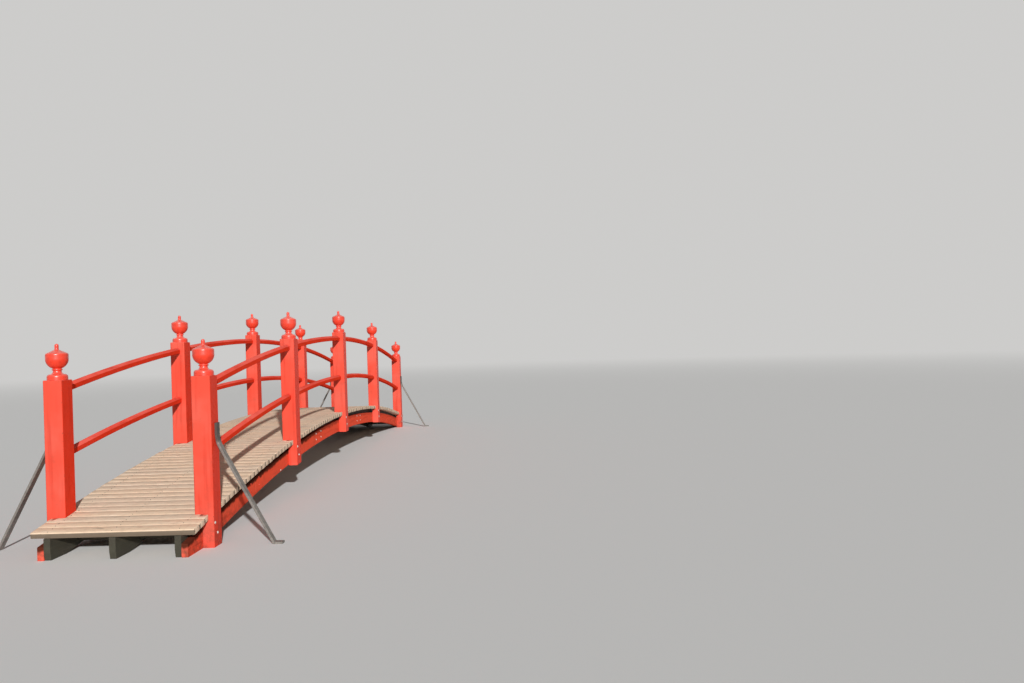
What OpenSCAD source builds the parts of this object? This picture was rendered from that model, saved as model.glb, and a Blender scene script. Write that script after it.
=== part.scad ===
// Arched timber footbridge with two rows of posts, turned finials and peaked rails.
// The bridge runs along X, its right-hand row is at -Y, and Z is up from level ground.

/* [Span] */
// Distance between posts along the bridge, centre to centre
bay_length = 2200; // [1600:50:2800]
// Rise of the deck from the end posts to the crown
arch_rise = 400; // [200:10:600]
// Height of the deck above the ground at the end posts
end_deck_height = 275; // [240:5:500]
// Number of deck boards past each end post
end_boards = 3; // [2:1:6]

/* [Deck] */
// Distance between the two rows of posts, centre to centre
row_spacing = 1170; // [900:10:1600]
// Width of a deck board
board_width = 95; // [70:5:140]
// Nominal gap between deck boards
board_gap = 5; // [3:1:12]
// Thickness of a deck board
board_thickness = 45; // [30:1:60]
// Distance from the outer faces of the posts in to the board ends
board_end_inset = 35; // [30:5:80]

/* [Posts] */
// Side of the square posts
post_width = 150; // [120:5:180]
// Height of a post above the deck, without its finial
post_height = 1065; // [900:5:1300]
// Thickness of the leg that passes down outside the fascia
post_leg_thickness = 90; // [60:5:110]
// How far a leg reaches below the fascia
post_foot_drop = 10; // [5:1:40]
// Chamfer along the edges of a post
post_arris = 5; // [2:1:10]

/* [Finials] */
// Distance from the post faces in to the round base on top of the post
finial_base_inset = 0; // [0:1:15]
// Height of the round base
finial_base_height = 46; // [30:1:60]
// Radius of the neck
finial_neck_radius = 31; // [20:1:36]
// Radius of the bulb
finial_bulb_radius = 82; // [60:1:90]
// Height of the spike above the bulb
finial_spike_height = 47; // [30:1:80]
// Radius of the spike
finial_spike_radius = 15; // [8:1:18]

/* [Rails] */
// Width of a rail
rail_width = 60; // [40:5:75]
// Depth of a rail from its ridge to its underside
rail_depth = 62; // [45:1:80]
// Height of the sloped top of a rail
rail_peak = 22; // [12:1:26]
// Height of the middle of the top rail above the deck
top_rail_height = 982; // [800:1:1000]
// Height of the middle of the lower rail above the deck
lower_rail_height = 464; // [300:1:600]
// Chamfer along the lower edges of a rail, and width of its ridge
rail_arris = 5; // [3:1:10]
// Depth that a rail enters a post
rail_tenon = 35; // [20:1:50]

/* [Beams] */
// Depth of the fascia beams
fascia_depth = 150; // [120:5:200]
// Thickness of the fascia beams
fascia_thickness = 50; // [40:5:80]
// Height of the shadow gap between the fascia and the deck
shadow_gap = 60; // [30:5:80]
// Depth of the inner stringers
stringer_depth = 200; // [150:5:260]
// Thickness of the inner stringers
stringer_thickness = 50; // [40:5:80]
// Thickness of the bearers between the stringers
bearer_thickness = 60; // [40:5:90]

/* [Braces] */
// Width of the steel braces
brace_width = 60; // [40:5:80]
// Thickness of the steel braces
brace_thickness = 18; // [6:1:20]
// Distance from the middle of a post to the middle of a brace, toward the span
brace_offset = 20; // [0:5:40]
// Height of the top of a brace above the deck
brace_top_height = 690; // [500:10:750]
// Height of the bend of a brace above the deck
brace_bend_height = 545; // [400:5:600]
// Radius of the bend of a brace, on the side of the post
brace_bend_radius = 250; // [100:10:300]
// Distance from the post out to the foot of a brace
brace_reach = 435; // [300:5:600]
// Length of the foot of a brace
brace_foot = 75; // [50:5:120]

/* [Fits] */
// Clearance between a rail and its housing
rail_clearance = 0.3; // [0.2:0.1:0.8]
// Clearance between boards and what carries them
seat_clearance = 0.3; // [0.2:0.1:0.8]
// Clearance between boards and the legs that they are notched round
notch_clearance = 3; // [1:0.5:8]
// Gap between the ends of two lengths of beam
splice_gap = 2; // [1:0.5:4]

/* [Hidden] */

bay_count = 4;
half_span = bay_length * bay_count / 2;
arc_facets = 1440;
turned_facets = 96;
bend_facets = 12;
// Long enough to pass right through whatever is cut
overcut = 20;
// Depth that the shapes of one turned profile run into each other
lap = 1;

// The deck's top is one circular arc, and every other arc is set out from it
arch_radius = (pow(half_span, 2) + pow(arch_rise, 2)) / (2 * arch_rise);
crown_height = end_deck_height + arch_rise;
arch_centre_z = crown_height - arch_radius;

// Radii of the arcs below the deck
deck_underside_radius = arch_radius - board_thickness;
stringer_top_radius = deck_underside_radius - seat_clearance;
stringer_bottom_radius = stringer_top_radius - stringer_depth;
fascia_top_radius = deck_underside_radius - shadow_gap;
fascia_bottom_radius = fascia_top_radius - fascia_depth;
foot_radius = fascia_bottom_radius - post_foot_drop;

// Planes across the bridge, as distances from its centre line
post_outer = (row_spacing + post_width) / 2;
post_inner = (row_spacing - post_width) / 2;
fascia_outer = post_outer - post_leg_thickness;
fascia_inner = fascia_outer - fascia_thickness;
stringer_inner = fascia_inner - stringer_thickness;
board_end = post_outer - board_end_inset;

function post_x(i) = (i - bay_count / 2) * bay_length;
function arch_angle(x) = asin(x / arch_radius);
function deck_z(x) = arch_centre_z + sqrt(pow(arch_radius, 2) - pow(x, 2));
function post_top_z(i) = deck_z(post_x(i)) + post_height;

// Boards are spaced evenly in each bay, with one board centred on each post
function bay_angle(bay) = arch_angle(post_x(bay + 1)) - arch_angle(post_x(bay));
function boards_in(bay) = round(bay_angle(bay) * PI / 180 * arch_radius / (board_width + board_gap));
function board_pitch(bay) = bay_angle(bay) / boards_in(bay);

// The deck and the beams end together, at the outer edge of the last board
deck_end_angle = arch_angle(half_span) + (end_boards + 0.5) * board_pitch(bay_count - 1);
beam_end = arch_radius * sin(deck_end_angle) - board_gap / 2;

// A rectangular bar bent to an arc of the arch, between two radii, two stations and two planes
module arc_block(inner_radius, outer_radius, x_from, x_to, y_from, y_to) {
    start = acos(x_to / outer_radius);
    finish = acos(x_from / outer_radius);
    translate([0, 0, arch_centre_z])
        rotate([90, 0, 0])
            rotate([0, 0, start])
                rotate_extrude(angle = finish - start, $fn = arc_facets)
                    translate([inner_radius, -y_to])
                        square([outer_radius - inner_radius, y_to - y_from]);
}

// Places what follows on the arch, square to it, at a radius and an angle from the crown
module on_arch(angle, radius) {
    translate([0, 0, arch_centre_z])
        rotate([0, angle, 0])
            translate([0, 0, radius])
                children();
}

// Everything between two stations along the bridge
module between_stations(x_from, x_to, z_from = -overcut, z_to = crown_height + 2 * post_height) {
    translate([x_from, -2 * post_outer, z_from])
        cube([x_to - x_from, 4 * post_outer, z_to - z_from]);
}

// The left-hand row mirrors the right-hand row
module row(side) {
    if (side == "left")
        mirror([0, 1, 0])
            children();
    else
        children();
}

// Section of a rail, upwards and across: upright sides under a sloped top with a narrow ridge
module rail_section(grow = 0) {
    half = rail_width / 2 + grow;
    ridge = rail_depth / 2 + grow;
    shoulder = ridge - rail_peak;
    bottom = -rail_depth / 2 - grow;
    polygon([
        [ridge, -rail_arris / 2], [ridge, rail_arris / 2], [shoulder, half],
        [bottom + rail_arris, half], [bottom, half - rail_arris],
        [bottom, -(half - rail_arris)], [bottom + rail_arris, -half], [shoulder, -half],
    ]);
}

// A rail of the right-hand row along the arc of the deck, at a height above it, with plumb ends
module rail_bar(height, x_from, x_to, grow = 0) {
    start = acos((x_to + overcut) / arch_radius);
    finish = acos((x_from - overcut) / arch_radius);
    intersection() {
        translate([0, -row_spacing / 2, arch_centre_z + height])
            rotate([90, 0, 0])
                rotate([0, 0, start])
                    rotate_extrude(angle = finish - start, $fn = arc_facets)
                        translate([arch_radius, 0])
                            rail_section(grow);
        between_stations(x_from, x_to);
    }
}

// The lengths of one rail, one for each bay, each entering the posts at both ends
module rail(height) {
    reach = post_width / 2 - rail_tenon;
    color("tomato")
        for (bay = [0 : bay_count - 1])
            rail_bar(height, post_x(bay) + reach, post_x(bay + 1) - reach);
}

// Housings in a post for the ends of a rail
module rail_housings(i, height) {
    bottom = post_width / 2 - rail_tenon - rail_clearance;
    if (i < bay_count)
        rail_bar(height, post_x(i) + bottom, post_x(i) + post_width, rail_clearance);
    if (i > 0)
        rail_bar(height, post_x(i) - post_width, post_x(i) - bottom, rail_clearance);
}

// Plan of a post
module post_plan() {
    half = post_width / 2;
    edge = half - post_arris;
    polygon([
        [edge, -half], [half, -edge], [half, edge], [edge, half],
        [-edge, half], [-half, edge], [-half, -edge], [-edge, -half],
    ]);
}

// Elevation of a post from its foot to its chamfered top
module post_elevation(z_foot, z_top) {
    half = post_width / 2;
    edge = half - post_arris;
    polygon([
        [-half, z_foot], [half, z_foot], [half, z_top - post_arris],
        [edge, z_top], [-edge, z_top], [-half, z_top - post_arris],
    ]);
}

// A whole square post before its joints are cut
module post_blank(z_foot, z_top) {
    intersection() {
        translate([0, 0, z_foot])
            linear_extrude(z_top - z_foot)
                post_plan();
        rotate([90, 0, 0])
            linear_extrude(2 * post_width, center = true)
                post_elevation(z_foot, z_top);
        rotate([90, 0, 90])
            linear_extrude(2 * post_width, center = true)
                post_elevation(z_foot, z_top);
    }
}

// Post i of the right-hand row: it sits on the deck, and its outer part passes down the fascia
module post(i) {
    x = post_x(i);
    on_ground = i == 0 || i == bay_count;
    slab = 2 * end_deck_height;
    color("tomato")
        difference() {
            translate([x, -row_spacing / 2, 0])
                post_blank(0, post_top_z(i));
            arc_block(arch_radius - slab, arch_radius + seat_clearance,
                x - post_width, x + post_width, -fascia_outer, -post_inner + overcut);
            if (!on_ground)
                arc_block(foot_radius - 2 * crown_height, foot_radius,
                    x - post_width, x + post_width, -post_outer - overcut, -post_inner + overcut);
            rail_housings(i, top_rail_height);
            rail_housings(i, lower_rail_height);
        }
}

// Turned profile of a finial, from the axis outwards and the post top upwards
module finial_profile() {
    base_radius = post_width / 2 - finial_base_inset;
    base_edge = 22;
    cove = 24;
    neck_length = 6;
    collar_bead = 5;
    collar_radius = finial_neck_radius + 8;
    groove_radius = finial_neck_radius + 1;
    groove_height = 3;
    side_height = 32;
    shoulder_edge = 16;
    shoulder_slope = 25;
    spike_flare = 14;
    neck_z = finial_base_height + cove;
    collar_z = neck_z + neck_length + collar_bead;
    bulb_z = collar_z + groove_height + finial_bulb_radius;
    side_top_z = bulb_z + side_height;
    edge_radius = finial_bulb_radius - shoulder_edge;
    tangent_r = edge_radius + shoulder_edge * sin(shoulder_slope);
    tangent_z = side_top_z + shoulder_edge * cos(shoulder_slope);
    spike_z = tangent_z + (tangent_r - finial_spike_radius) * tan(shoulder_slope);
    spike_top = spike_z + finial_spike_height - finial_spike_radius;
    flare_r = finial_spike_radius + spike_flare;
    flare_z = spike_z + spike_flare * (1 - sin(shoulder_slope)) / cos(shoulder_slope);
    flare_foot = [flare_r, flare_z] - spike_flare * [sin(shoulder_slope), cos(shoulder_slope)];
    // base disc with a rounded upper edge
    square([base_radius, finial_base_height - base_edge]);
    square([base_radius - base_edge, finial_base_height]);
    intersection() {
        translate([base_radius - base_edge, finial_base_height - base_edge])
            circle(base_edge, $fn = turned_facets);
        square([base_radius, finial_base_height]);
    }
    // cove up to the neck
    difference() {
        translate([0, finial_base_height - lap])
            square([finial_neck_radius + cove, cove + lap]);
        translate([finial_neck_radius + cove, neck_z])
            circle(cove, $fn = turned_facets);
    }
    translate([0, neck_z - lap])
        square([finial_neck_radius, collar_z - neck_z + lap]);
    // collar ring
    translate([0, collar_z - collar_bead])
        square([collar_radius - collar_bead, 2 * collar_bead]);
    intersection() {
        translate([collar_radius - collar_bead, collar_z])
            circle(collar_bead, $fn = turned_facets);
        translate([0, collar_z - collar_bead])
            square([collar_radius, 2 * collar_bead]);
    }
    // groove under the bulb
    translate([0, collar_z])
        square([groove_radius, finial_bulb_radius / 2]);
    // bulb: round below, upright at the side, with a rounded edge and a sloping shoulder
    intersection() {
        translate([0, bulb_z])
            circle(finial_bulb_radius, $fn = turned_facets);
        translate([0, bulb_z - finial_bulb_radius])
            square([finial_bulb_radius, finial_bulb_radius]);
    }
    translate([0, bulb_z - lap])
        square([finial_bulb_radius, side_height + lap]);
    intersection() {
        translate([edge_radius, side_top_z])
            circle(shoulder_edge, $fn = turned_facets);
        translate([0, side_top_z - lap])
            square([finial_bulb_radius, shoulder_edge + lap]);
    }
    polygon([
        [0, side_top_z - lap], [edge_radius, side_top_z - lap], [tangent_r, tangent_z],
        [finial_spike_radius, spike_z], [0, spike_z],
    ]);
    // hollow flare from the shoulder up to the spike
    difference() {
        polygon([[0, flare_foot.y], flare_foot, [flare_r, flare_z], [0, flare_z]]);
        translate([flare_r, flare_z])
            circle(spike_flare, $fn = turned_facets);
    }
    // spike with a round tip
    translate([0, spike_z - lap])
        square([finial_spike_radius, spike_top - spike_z + lap]);
    intersection() {
        translate([0, spike_top])
            circle(finial_spike_radius, $fn = turned_facets);
        translate([0, spike_top - lap])
            square([finial_spike_radius, finial_spike_radius + lap]);
    }
}

// Finial on post i of the right-hand row
module finial(i) {
    color("tomato")
        translate([post_x(i), -row_spacing / 2, post_top_z(i)])
            rotate_extrude($fn = turned_facets)
                finial_profile();
}

// Arched fascia beam of the right-hand row: lengths that meet in the middle of each bay
module fascia() {
    half_gap = splice_gap / 2;
    color("tomato")
        for (i = [0 : bay_count]) {
            first = i == 0;
            last = i == bay_count;
            x_from = first ? -beam_end : post_x(i) - bay_length / 2 + half_gap;
            x_to = last ? beam_end : post_x(i) + bay_length / 2 - half_gap;
            intersection() {
                arc_block(fascia_bottom_radius, fascia_top_radius,
                    first ? x_from - overcut : x_from, last ? x_to + overcut : x_to,
                    -fascia_outer, -fascia_inner);
                between_stations(-beam_end, beam_end, 0);
            }
        }
}

// A dark stringer under the boards: lengths that meet at the inner posts
module stringer(y_from, y_to) {
    half_gap = splice_gap / 2;
    color("#3a2f28")
        for (bay = [0 : bay_count - 1]) {
            first = bay == 0;
            last = bay == bay_count - 1;
            x_from = first ? -beam_end - overcut : post_x(bay) + half_gap;
            x_to = last ? beam_end + overcut : post_x(bay + 1) - half_gap;
            intersection() {
                arc_block(stringer_bottom_radius, stringer_top_radius, x_from, x_to, y_from, y_to);
                between_stations(-beam_end, beam_end, 0);
            }
        }
}

// Bearers between the stringers, two at each pair of posts
module cross_bearers() {
    below_boards = 20;
    depth = stringer_depth - 3 * below_boards;
    length = stringer_inner - stringer_thickness / 2;
    color("#3a2f28")
        for (i = [0 : bay_count])
            for (side = [-1, 1])
                on_arch(arch_angle(post_x(i)), stringer_top_radius - below_boards - depth)
                    translate([-bearer_thickness / 2, side > 0 ? stringer_thickness / 2 : -stringer_inner, 0])
                        cube([bearer_thickness, length, depth]);
}

// One deck board at an angle from the crown
module board(angle) {
    on_arch(angle, deck_underside_radius)
        translate([-board_width / 2, -board_end, 0])
            cube([board_width, 2 * board_end, board_thickness]);
}

// Space taken from the boards round the two legs at station i
module leg_notches(i) {
    side = post_width + 2 * notch_clearance;
    for (end = [-1, 1])
        translate([post_x(i) - side / 2, end > 0 ? fascia_outer : -fascia_outer - 2 * post_leg_thickness, 0])
            cube([side, 2 * post_leg_thickness, post_top_z(i)]);
}

// Boards from one index to another, counted from post i in steps of the bay's pitch
module boards(i, bay, first, last) {
    color("tan")
        difference() {
            for (k = [first : last])
                board(arch_angle(post_x(i)) + k * board_pitch(bay));
            leg_notches(i);
            if (i < bay_count)
                leg_notches(i + 1);
        }
}

module deck_bay(bay) {
    boards(bay, bay, 0, boards_in(bay) - 1);
}

module deck_start() {
    boards(0, 0, -end_boards, -1);
}

module deck_end() {
    boards(bay_count, bay_count - 1, 0, end_boards);
}

function mitre(corner, normal_a, normal_b, depth) =
    corner + depth * (normal_a + normal_b) / (1 + normal_a * normal_b);

function reversed(points) = [for (k = [len(points) - 1 : -1 : 0]) points[k]];

// Points of one side of a brace's bend, from upright to its lean
function bend_arc(centre, radius, lean) = [
    for (k = [0 : bend_facets])
        let (turn = 180 + lean * k / bend_facets)
            centre + radius * [cos(turn), sin(turn)]
];

// Bent steel brace from the outer face of an end post down to a foot on the ground
module brace(i) {
    z_deck = deck_z(post_x(i));
    z_bend = z_deck + brace_bend_height;
    z_top = z_deck + brace_top_height;
    lean = atan(brace_reach / z_bend);
    leg_normal = [cos(lean), sin(lean)];
    bend_centre = [brace_bend_radius, z_bend + brace_bend_radius * tan(lean / 2)];
    post_side = bend_arc(bend_centre, brace_bend_radius, lean);
    outer_side = bend_arc(bend_centre, brace_bend_radius - brace_thickness, lean);
    foot = [
        [brace_reach, 0],
        [brace_reach + brace_foot, 0],
        [brace_reach + brace_foot, brace_thickness],
        mitre([brace_reach, 0], leg_normal, [0, 1], brace_thickness),
    ];
    toward_span = i == 0 ? brace_offset : -brace_offset;
    color("gray")
        translate([post_x(i) + toward_span + brace_width / 2, -post_outer, 0])
            rotate([90, 0, -90])
                linear_extrude(brace_width)
                    polygon(concat(
                        [[0, z_top]], post_side, foot, reversed(outer_side), [[brace_thickness, z_top]]
                    ));
}

row("right") post(0);  // right_post_1
row("right") post(1);  // right_post_2
row("right") post(2);  // right_post_3
row("right") post(3);  // right_post_4
row("right") post(4);  // right_post_5
row("left") post(0);  // left_post_1
row("left") post(1);  // left_post_2
row("left") post(2);  // left_post_3
row("left") post(3);  // left_post_4
row("left") post(4);  // left_post_5
row("right") finial(0);  // right_finial_1
row("right") finial(1);  // right_finial_2
row("right") finial(2);  // right_finial_3
row("right") finial(3);  // right_finial_4
row("right") finial(4);  // right_finial_5
row("left") finial(0);  // left_finial_1
row("left") finial(1);  // left_finial_2
row("left") finial(2);  // left_finial_3
row("left") finial(3);  // left_finial_4
row("left") finial(4);  // left_finial_5
row("right") rail(top_rail_height);  // right_top_rail
row("right") rail(lower_rail_height);  // right_lower_rail
row("left") rail(top_rail_height);  // left_top_rail
row("left") rail(lower_rail_height);  // left_lower_rail
row("right") fascia();  // right_fascia
row("left") fascia();  // left_fascia
stringer(-fascia_inner, -stringer_inner);  // right_stringer
stringer(-stringer_thickness / 2, stringer_thickness / 2);  // middle_stringer
stringer(stringer_inner, fascia_inner);  // left_stringer
cross_bearers();
deck_start();
deck_bay(0);  // deck_bay_1
deck_bay(1);  // deck_bay_2
deck_bay(2);  // deck_bay_3
deck_bay(3);  // deck_bay_4
deck_end();
row("right") brace(0);  // right_brace_1
row("right") brace(4);  // right_brace_5
row("left") brace(0);  // left_brace_1
row("left") brace(4);  // left_brace_5
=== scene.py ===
import logging
import math
import random
from abc import ABC, abstractmethod
from dataclasses import dataclass, field
from enum import Enum
from functools import cached_property

import bmesh
import bpy
from bmesh.types import BMesh, BMVert
from bpy.types import ID, Material, Node, NodeSocket, Object
from mathutils import Matrix, Vector, noise


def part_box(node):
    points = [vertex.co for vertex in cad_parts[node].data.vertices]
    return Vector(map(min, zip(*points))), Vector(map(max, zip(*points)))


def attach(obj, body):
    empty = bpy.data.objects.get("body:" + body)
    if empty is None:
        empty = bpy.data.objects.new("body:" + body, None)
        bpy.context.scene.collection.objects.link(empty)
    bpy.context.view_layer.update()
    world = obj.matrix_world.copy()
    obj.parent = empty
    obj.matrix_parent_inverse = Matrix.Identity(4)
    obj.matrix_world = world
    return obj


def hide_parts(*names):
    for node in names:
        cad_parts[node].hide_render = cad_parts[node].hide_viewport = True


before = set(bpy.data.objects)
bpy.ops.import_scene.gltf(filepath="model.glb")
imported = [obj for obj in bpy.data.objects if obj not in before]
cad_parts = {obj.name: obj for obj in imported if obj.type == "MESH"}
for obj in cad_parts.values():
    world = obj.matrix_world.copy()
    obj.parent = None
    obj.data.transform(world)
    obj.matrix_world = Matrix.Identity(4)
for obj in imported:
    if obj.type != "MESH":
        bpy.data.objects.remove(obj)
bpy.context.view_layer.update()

log = logging.getLogger("moon_bridge")

BODY = "root"
MM = 0.001
POSTS = range(1, 6)
END_POSTS = (1, 5)
STRINGERS = ("right", "middle", "left")
CROWN_REACH = 50 * MM
SHARP_FROM = math.radians(35)
ROUNDED_FROM = math.radians(25)
WELD_WITHIN = 0.05 * MM
CUT_WITHIN = 0.001 * MM

# Numbers of the Mix node's sockets for colours
MIX_UNDER = 6
MIX_OVER = 7
MIX_RESULT = 2

Colour = tuple[float, float, float]
Point = tuple[float, float, float]
Pair = tuple[float, float]
Coat = tuple[object, object]


class Side(Enum):
    """The two rows of posts, by the sign of their distance from the centre line."""

    RIGHT = -1
    LEFT = 1

    @property
    def word(self) -> str:
        """The row's name as the nodes spell it."""
        return self.name.lower()

    @property
    def outward(self) -> Vector:
        """Direction away from the deck."""
        return Vector((0.0, float(self.value), 0.0))

    def outer(self, box: tuple[Vector, Vector]) -> float:
        """Distance from the centre line, with its sign, of the outer side of a box in this row."""
        return box[1 if self is Side.LEFT else 0].y


class Grain(Enum):
    """How the grain of a piece runs, as the share of each axis that its pattern keeps."""

    UPRIGHT = (1.0, 1.0, 0.06)
    ALONG = (0.06, 1.0, 1.0)
    ACROSS = (1.0, 0.05, 1.0)
    TURNED = (1.0, 1.0, 1.0)


class Slot(Enum):
    """Names of material slots; the bolt table lists them, but make_piece gives no piece a slot."""

    PAINT = "red_paint"
    BOARDS = "weathered_boards"
    STEEL = "grey_steel"


class Edges(Enum):
    """Which faces of a painted piece are its worn edges."""

    CHAMFERS = "between the main faces"
    NONE = "none"


@dataclass(frozen=True)
class Arch:
    """The arc of the deck's top, from which the heights and slopes of the bridge are taken."""

    posts: list[Pair]
    half_span: float
    rise: float
    crown_height: float
    board_thickness: float

    @classmethod
    def of_the_frame(cls) -> "Arch":
        """Works the arc out from the end posts, the middle post and the crown board.

        Returns:
            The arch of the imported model, with the stations of the two faces of each post.
        """
        boxes = [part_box(f"right_post_{i}") for i in POSTS]
        first, middle, last = boxes[0], boxes[2], boxes[4]
        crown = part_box("deck_bay_3")[1].z
        corners = [vert.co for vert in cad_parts["deck_bay_3"].data.vertices]
        return cls(
            posts=[(low.x, high.x) for low, high in boxes],
            half_span=(last[0].x + last[1].x - first[0].x - first[1].x) / 4,
            rise=middle[1].z - first[1].z,
            crown_height=crown,
            board_thickness=crown - min(corner.z for corner in corners if abs(corner.x) < CROWN_REACH),
        )

    @property
    def post_middles(self) -> list[float]:
        """Stations of the middles of the posts."""
        return [(low + high) / 2 for low, high in self.posts]

    @property
    def radius(self) -> float:
        """Radius of the deck's top."""
        return (self.half_span ** 2 + self.rise ** 2) / (2 * self.rise)

    @property
    def centre_z(self) -> float:
        """Height of the arc's centre, far below the ground."""
        return self.crown_height - self.radius

    def angle_at(self, x: float) -> float:
        """Angle from the crown of a station along the bridge, positive towards the far end."""
        return math.asin(x / self.radius)

    def height_at(self, x: float) -> float:
        """Height of the deck's top at a station."""
        return self.centre_z + math.sqrt(self.radius ** 2 - x ** 2)

    def place(self, angle: float, along: float, across: float, up: float) -> Vector:
        """Turns a place measured on a board into a place on the bridge.

        Args:
            angle: Angle of the board's middle from the crown.
            along: Distance from the board's middle, square to its length.
            across: Distance from the bridge's centre line.
            up: Distance above the board's underside.

        Returns:
            The point in the shared frame.
        """
        reach = self.radius - self.board_thickness + up
        return Vector((
            reach * math.sin(angle) + along * math.cos(angle),
            across,
            self.centre_z + reach * math.cos(angle) - along * math.sin(angle),
        ))


class NodeSheet:
    """Lays out the nodes of one material, or of the world."""

    def __init__(self, owner: ID) -> None:
        """Starts an empty sheet for a material or a world that uses nodes."""
        self.tree = owner.node_tree
        self.tree.nodes.clear()

    def add(self, kind: str, inputs: dict | None = None, **settings: object) -> Node:
        """Adds a node, sets its options and fills its sockets.

        Args:
            kind: Blender's name of the node type, without its prefix.
            inputs: Socket name or number to a constant or to another node's output.
            settings: Options of the node.

        Returns:
            The new node.
        """
        node = self.tree.nodes.new("ShaderNode" + kind)
        for option, value in settings.items():
            setattr(node, option, value)
        for socket, value in (inputs or {}).items():
            self.feed(node.inputs[socket], value)
        return node

    def feed(self, socket: NodeSocket, value: object) -> None:
        """Links an output to a socket, or writes a constant on it.

        Args:
            socket: The socket to fill.
            value: Another node's output, a number, a vector or a colour.
        """
        if isinstance(value, NodeSocket):
            self.tree.links.new(value, socket)
        elif isinstance(value, tuple) and len(value) == 3 and socket.type == "RGBA":
            socket.default_value = (*value, 1.0)
        else:
            socket.default_value = value

    def math(self, operation: str, first: object, second: object = 0.0) -> NodeSocket:
        """One step of arithmetic, by Blender's name of it."""
        return self.add("Math", {0: first, 1: second}, operation=operation).outputs["Value"]

    def times(self, first: object, second: object) -> NodeSocket:
        """Product of two values."""
        return self.math("MULTIPLY", first, second)

    def vector(self, operation: str, first: object, second: object) -> NodeSocket:
        """One step of arithmetic on two vectors, by Blender's name of it."""
        return self.add("VectorMath", {0: first, 1: second}, operation=operation).outputs["Vector"]

    def length(self, vector: NodeSocket) -> NodeSocket:
        """Length of a vector."""
        return self.add("VectorMath", {0: vector}, operation="LENGTH").outputs["Value"]

    def place(self, stretch: Point = (1.0, 1.0, 1.0), shift: object = None) -> NodeSocket:
        """Coordinates in metres on the bridge, stretched along the grain.

        Args:
            stretch: Factor on each axis.
            shift: A vector added first, such as one that sets a board's pattern apart from the next.

        Returns:
            The vector output.
        """
        here = self.add("TexCoord").outputs["Object"]
        if shift is not None:
            here = self.vector("ADD", here, shift)
        return self.vector("MULTIPLY", here, stretch)

    def station(self, axis: str) -> NodeSocket:
        """Place on one axis in metres: X along the bridge, Z above the ground."""
        return self.add("SeparateXYZ", {0: self.add("TexCoord").outputs["Object"]}).outputs[axis]

    def facing(self) -> dict[str, NodeSocket]:
        """The size of each part of the surface's own normal.

        Returns:
            Outputs by axis letter, and the signed upward part as "up".
        """
        parts = self.add("SeparateXYZ", {0: self.add("NewGeometry").outputs["True Normal"]}).outputs
        sized = {axis.lower(): self.math("ABSOLUTE", parts[axis]) for axis in "XYZ"}
        sized["up"] = parts["Z"]
        return sized

    def noise(self, where: NodeSocket, scale: float, detail: float, roughness: float = 0.55) -> NodeSocket:
        """Cloudy noise from 0 to 1, by its clouds in a metre and the number and strength of finer layers."""
        inputs = {"Vector": where, "Scale": scale, "Detail": detail, "Roughness": roughness}
        return self.add("TexNoise", inputs).outputs["Fac"]

    def cells(self, where: NodeSocket, scale: float) -> NodeSocket:
        """Distance to the nearest of many scattered points, by their number in a metre."""
        return self.add("TexVoronoi", {"Vector": where, "Scale": scale}).outputs["Distance"]

    def span(self, value: NodeSocket, low: float, high: float, to_low: float = 0.0,
             to_high: float = 1.0) -> NodeSocket:
        """Maps the values from low to high to another stretch, smoothly and without passing its ends."""
        inputs = {"Value": value, "From Min": low, "From Max": high, "To Min": to_low, "To Max": to_high}
        return self.add("MapRange", inputs, interpolation_type="SMOOTHSTEP").outputs["Result"]

    def coats(self, base: object, *coats: Coat) -> NodeSocket:
        """Lays colours over each other.

        Args:
            base: The lowest colour.
            coats: Share and colour of each coat, from the lowest up.

        Returns:
            The colour output.
        """
        for share, colour in coats:
            mix = self.add("Mix", {"Factor": share, MIX_UNDER: base, MIX_OVER: colour}, data_type="RGBA")
            base = mix.outputs[MIX_RESULT]
        return base

    def relief(self, *layers: tuple[NodeSocket, float, float]) -> NodeSocket:
        """Roughens the surface's normal by height patterns laid over each other.

        Args:
            layers: Pattern from 0 to 1, depth in metres and strength of each layer, from the coarsest.

        Returns:
            The normal output.
        """
        under = {}
        for pattern, depth, strength in layers:
            bump = self.add("Bump", {"Height": pattern, "Distance": depth, "Strength": strength, **under})
            under = {"Normal": bump.outputs["Normal"]}
        return bump.outputs["Normal"]


class FinishSheet(NodeSheet):
    """The sheet of one finish, with its surface shader."""

    def __init__(self, name: str) -> None:
        """Starts a material with a lone surface shader.

        Args:
            name: Name of the material.
        """
        self.material = bpy.data.materials.new(name)
        self.material.use_nodes = True
        super().__init__(self.material)
        self.shader = self.add("BsdfPrincipled")
        self.output = self.add("OutputMaterial", {"Surface": self.shader.outputs["BSDF"]})

    def finish(self, **sockets: object) -> Material:
        """Fills the surface shader.

        Args:
            sockets: Socket names with spaces written as underscores.

        Returns:
            The finished material.
        """
        for name, value in sockets.items():
            words = name.replace("_", " ").title().replace("Ior", "IOR")
            self.feed(self.shader.inputs[words], value)
        return self.material


@dataclass(frozen=True)
class Gloss:
    """Shine of a coat of paint, on the faces that the weather washes and on the sheltered ones.

    sheltered_to and washed_from are the upward parts of the normal between which the one passes into the
    other, and density is the coat's index of refraction.
    """

    washed: float
    sheltered: float
    body: float
    roughness: float
    sheltered_to: float
    washed_from: float
    density: float = 1.5


SATIN = Gloss(washed=0.32, sheltered=0.03, body=0.03, roughness=0.16, sheltered_to=0.1, washed_from=0.6)
WORN = Gloss(washed=0.08, sheltered=0.0, body=0.0, roughness=0.25, sheltered_to=0.1, washed_from=0.6)
POLISHED = Gloss(
    washed=1.0, sheltered=0.25, body=0.05, roughness=0.33, sheltered_to=-0.3, washed_from=0.15, density=1.72,
)


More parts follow.
